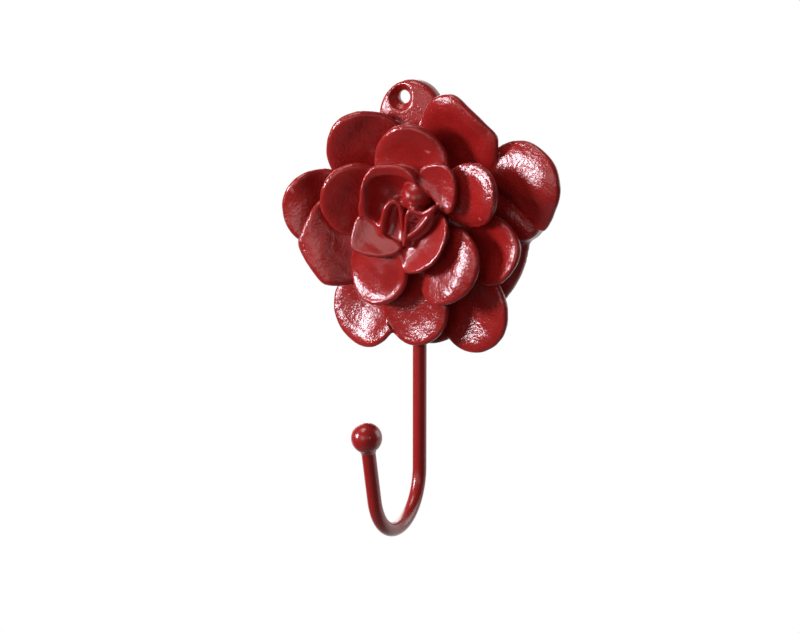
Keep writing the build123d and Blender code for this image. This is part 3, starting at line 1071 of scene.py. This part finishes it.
@dataclass
class HookRod:
    """The bent rod: a shank, a bend and an arm, and the ball on its tip, in mm and degrees."""

    radius: float = 2.5
    top: Vector = field(default_factory=lambda: Vector((7.6, -5.0, -79.5)))
    bend_radius: float = 18.5
    bend_z: float = -133.0
    bend_angle: float = 166.0
    arm_length: float = 24.3
    ball_radius: float = 5.4
    ball_grip: float = 1.5
    ball_sides: int = 48
    ball_steps: int = 41
    collar_radius: float = 2.9
    collar_straight: float = 0.3
    collar_break: float = 0.15
    collar_break_at: float = 0.8
    collar_height: float = 1.0
    collar_gap: float = 0.02
    sides: int = 40
    shank_steps: int = 40
    bend_steps: int = 72
    arm_steps: int = 24

    def arm_way(self) -> Vector:
        """The arm's direction towards the ball."""
        bend = math.radians(self.bend_angle)
        return Vector((0.0, -math.sin(bend), -math.cos(bend)))

    def bend_point(self, angle: float) -> Vector:
        """The point of the centre line at an angle round the bend, in mm."""
        drop = Vector((0.0, -self.bend_radius * (1.0 - math.cos(angle)), -self.bend_radius * math.sin(angle)))
        return Vector((self.top.x, self.top.y, self.bend_z)) + drop

    def ball_centre(self) -> Vector:
        """The ball's centre in mm."""
        return self.bend_point(math.radians(self.bend_angle)) + self.arm_way() * self.arm_length

    def line(self) -> list[tuple[Vector, Vector]]:
        """The centre line.

        Returns:
            Points in mm from the rose to the ball, each with the way along the rod there.
        """
        down = Vector((0.0, 0.0, -1.0))
        shank, steps = self.top.z - self.bend_z, self.shank_steps
        stations = [(self.top + down * shank * k / steps, down) for k in range(steps)]
        for k in range(self.bend_steps + 1):
            angle = math.radians(self.bend_angle) * k / self.bend_steps
            way = Vector((0.0, -math.sin(angle), -math.cos(angle)))
            stations.append((self.bend_point(angle), way))
        last = stations[-1][0]
        reach, steps, way = self.arm_length + self.ball_grip, self.arm_steps, self.arm_way()
        stations += [(last + way * reach * k / steps, way) for k in range(1, steps + 1)]
        return stations

    def build(self) -> list[bpy.types.Object]:
        """The rod and the ball.

        Returns:
            The rod, then the ball.
        """
        rings = [ring_points(point, way, self.radius, self.sides) for point, way in self.line()]
        rod = self.skin("hook_rod_bar", rings)
        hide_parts("hook_rod")
        ball = self.ball()
        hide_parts("ball_end")
        return [rod, ball]

    def skin(self, name: str, rings: list[list[Vector]]) -> bpy.types.Object:
        """A closed skin over rings of points.

        Args:
            name: The piece's name.
            rings: Rings with the same count of points, in mm.

        Returns:
            The linked object.
        """
        count = len(rings[0])
        points = [point for ring in rings for point in ring]
        ends = [sum(ring, Vector()) / count for ring in (rings[0], rings[-1])]
        first, last = len(points), len(points) + 1
        quads, fans = [], []
        for k in range(count):
            nxt = (k + 1) % count
            for r in range(len(rings) - 1):
                a, b = r * count, (r + 1) * count
                quads.append((a + k, a + nxt, b + nxt, b + k))
            end = (len(rings) - 1) * count
            fans += [(first, nxt, k), (last, end + k, end + nxt)]
        places = np.array([tuple(point) for point in points + ends])
        return mesh_object(name, places, [np.array(fans), np.array(quads)])

    def ball(self) -> bpy.types.Object:
        """The ball with a short collar where the rod goes in.

        Returns:
            The linked object.
        """
        way, centre = -self.arm_way(), self.ball_centre()
        neck = math.acos(self.collar_radius / self.ball_radius)
        profile = []
        for k in range(1, self.ball_steps):
            angle = -math.pi / 2 + (neck + math.pi / 2) * k / self.ball_steps
            profile.append((self.ball_radius * math.cos(angle), self.ball_radius * math.sin(angle)))
        edge = self.ball_radius * math.sin(neck)
        profile += [(self.collar_radius, edge + self.collar_straight),
                    (self.collar_radius - self.collar_break, edge + self.collar_break_at),
                    (self.radius + self.collar_gap, edge + self.collar_height)]
        rings = [ring_points(centre + way * level, way, radius, self.ball_sides)
                 for radius, level in profile]
        return self.skin("ball", rings)

    def dress(self, pieces: list[bpy.types.Object], finish: EnamelFinish) -> None:
        """Paints the rod and the ball and sets them on the hook.

        Args:
            pieces: The rod and the ball.
            finish: Their enamel.
        """
        paint = finish.material()
        for piece in pieces:
            piece.data.materials.append(paint)
            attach(piece, ROOT)


@dataclass
class Lamp:
    """A soft studio lamp that points at the hook, with its sizes in metres."""

    name: str
    way: tuple[float, float, float]
    distance: float
    width: float
    height: float
    radiance: float
    tint: tuple[float, float, float] = (1.0, 1.0, 1.0)

    def build(self, target: Vector) -> None:
        """Hangs the lamp.

        Args:
            target: What it points at, in metres.
        """
        data = bpy.data.lights.new(self.name, "AREA")
        data.shape = "RECTANGLE"
        data.size = self.width
        data.size_y = self.height
        data.energy = self.radiance * math.pi * self.width * self.height
        data.color = self.tint
        lamp = bpy.data.objects.new(self.name, data)
        way = Vector(self.way).normalized()
        lamp.location = target + way * self.distance
        lamp.rotation_euler = way.to_track_quat("Z", "Y").to_euler()
        bpy.context.scene.collection.objects.link(lamp)


@dataclass
class Studio:
    """The pale floor, the white surroundings, the lamps and the camera."""

    target: Vector = field(default_factory=lambda: Vector((1.22, -8.0, -78.07)) * MM)
    azimuth: float = 26.0
    elevation: float = 10.0
    distance: float = 0.9
    lens: float = 113.4
    sensor: float = 36.0
    near_clip: float = 0.01
    floor_drop: float = 1.2
    floor_size: float = 8.0
    world_light: float = 0.09
    backdrop_edge: tuple[float, float] = (0.2, 0.7)

    def build(self) -> None:
        """Sets up the studio."""
        bpy.context.scene.view_settings.view_transform = "Standard"
        self.floor()
        self.world()
        for lamp in self.lamps():
            lamp.build(self.target)
        self.camera()

    def lamps(self) -> list[Lamp]:
        """The key at the left, soft ones in front and overhead, two near the camera and two behind.

        Returns:
            The lamps, each by its way from the hook, distance, width, height and radiance.
        """
        return [
            Lamp("key", (-0.75, -0.62, 0.22), 0.9, 0.27, 0.22, 45.0, (1.0, 0.96, 1.06)),
            Lamp("front", (-0.08, -0.98, 0.15), 1.0, 0.5, 0.5, 1.7),
            Lamp("overhead", (-0.25, -0.35, 0.9), 1.0, 0.45, 0.45, 5.0),
            Lamp("behind_the_camera", (0.43, -0.88, 0.22), 1.3, 0.6, 0.4, 0.6),
            Lamp("by_the_camera", (0.727, -0.646, 0.199), 1.1, 0.05, 0.05, 25.0),
            Lamp("behind_left", (-0.6, 0.75, 0.3), 1.0, 0.6, 0.6, 2.5),
            Lamp("behind_right", (0.75, 0.6, 0.3), 1.0, 0.6, 0.6, 2.0),
        ]

    def floor(self) -> None:
        """Lays the pale floor under the hook."""
        low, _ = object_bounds()
        half, level = self.floor_size / 2, low.z - self.floor_drop
        corners = [(-half, -half, level), (half, -half, level), (half, half, level), (-half, half, level)]
        plane = mesh_object("floor", np.array(corners) / MM, [np.array([(0, 1, 2, 3)])])
        plane.data.materials.append(PaperFinish().material())
        plane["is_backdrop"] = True

    def world(self) -> None:
        """Surrounds the hook with dim light, and with white where the camera sees it and behind the hook."""
        world = bpy.data.worlds.new("studio")
        bpy.context.scene.world = world
        world.use_nodes = True
        wiring, nodes = Wiring(world.node_tree), world.node_tree.nodes
        dim = nodes["Background"]
        wiring.feed(dim.inputs["Color"], (1.0, 1.0, 1.0, 1.0))
        wiring.feed(dim.inputs["Strength"], self.world_light)
        way = wiring.add("ShaderNodeTexCoord", {}).outputs["Generated"]
        shown = seen_white(wiring, dim.outputs["Background"], way, self.backdrop_edge)
        wiring.feed(nodes["World Output"].inputs["Surface"], shown)

    def camera(self) -> None:
        """Places the camera at the photograph's angle."""
        data = bpy.data.cameras.new("camera")
        data.lens = self.lens
        data.sensor_width = self.sensor
        data.clip_start = self.near_clip
        camera = bpy.data.objects.new("camera", data)
        a, e = math.radians(self.azimuth), math.radians(self.elevation)
        back = Vector((math.sin(a) * math.cos(e), -math.cos(a) * math.cos(e), math.sin(e)))
        camera.location = self.target + back * self.distance
        camera.rotation_euler = back.to_track_quat("Z", "Y").to_euler()
        bpy.context.scene.collection.objects.link(camera)
        bpy.context.scene.camera = camera


def main() -> None:
    """Builds the hook and its studio."""
    logging.basicConfig(level=logging.INFO, format="%(name)s: %(message)s")
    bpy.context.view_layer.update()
    cast_enamel = EnamelFinish(
        "red_enamel_on_casting", colour=(0.36, 0.0140, 0.0120), deep=(0.29, 0.0110, 0.0098),
        roughness=0.20, grains=((2.4, 0.15), (1.0, 0.14), (0.45, 0.06)))
    rod_enamel = EnamelFinish(
        "red_enamel_on_steel", colour=(0.36, 0.0140, 0.0120), deep=(0.33, 0.0130, 0.0112),
        roughness=0.22, grains=((2.0, 0.03), (0.6, 0.01)), smooth_strength=1.0)
    rose = RoseCasting()
    rose_piece = rose.build()
    rose.dress(rose_piece, cast_enamel)
    rod = HookRod()
    rod_pieces = rod.build()
    rod.dress(rod_pieces, rod_enamel)
    Studio().build()
    for piece in [rose_piece, *rod_pieces]:
        log.info("%s: %d faces", piece.name, len(piece.data.polygons))


if __name__ == "__main__":
    main()
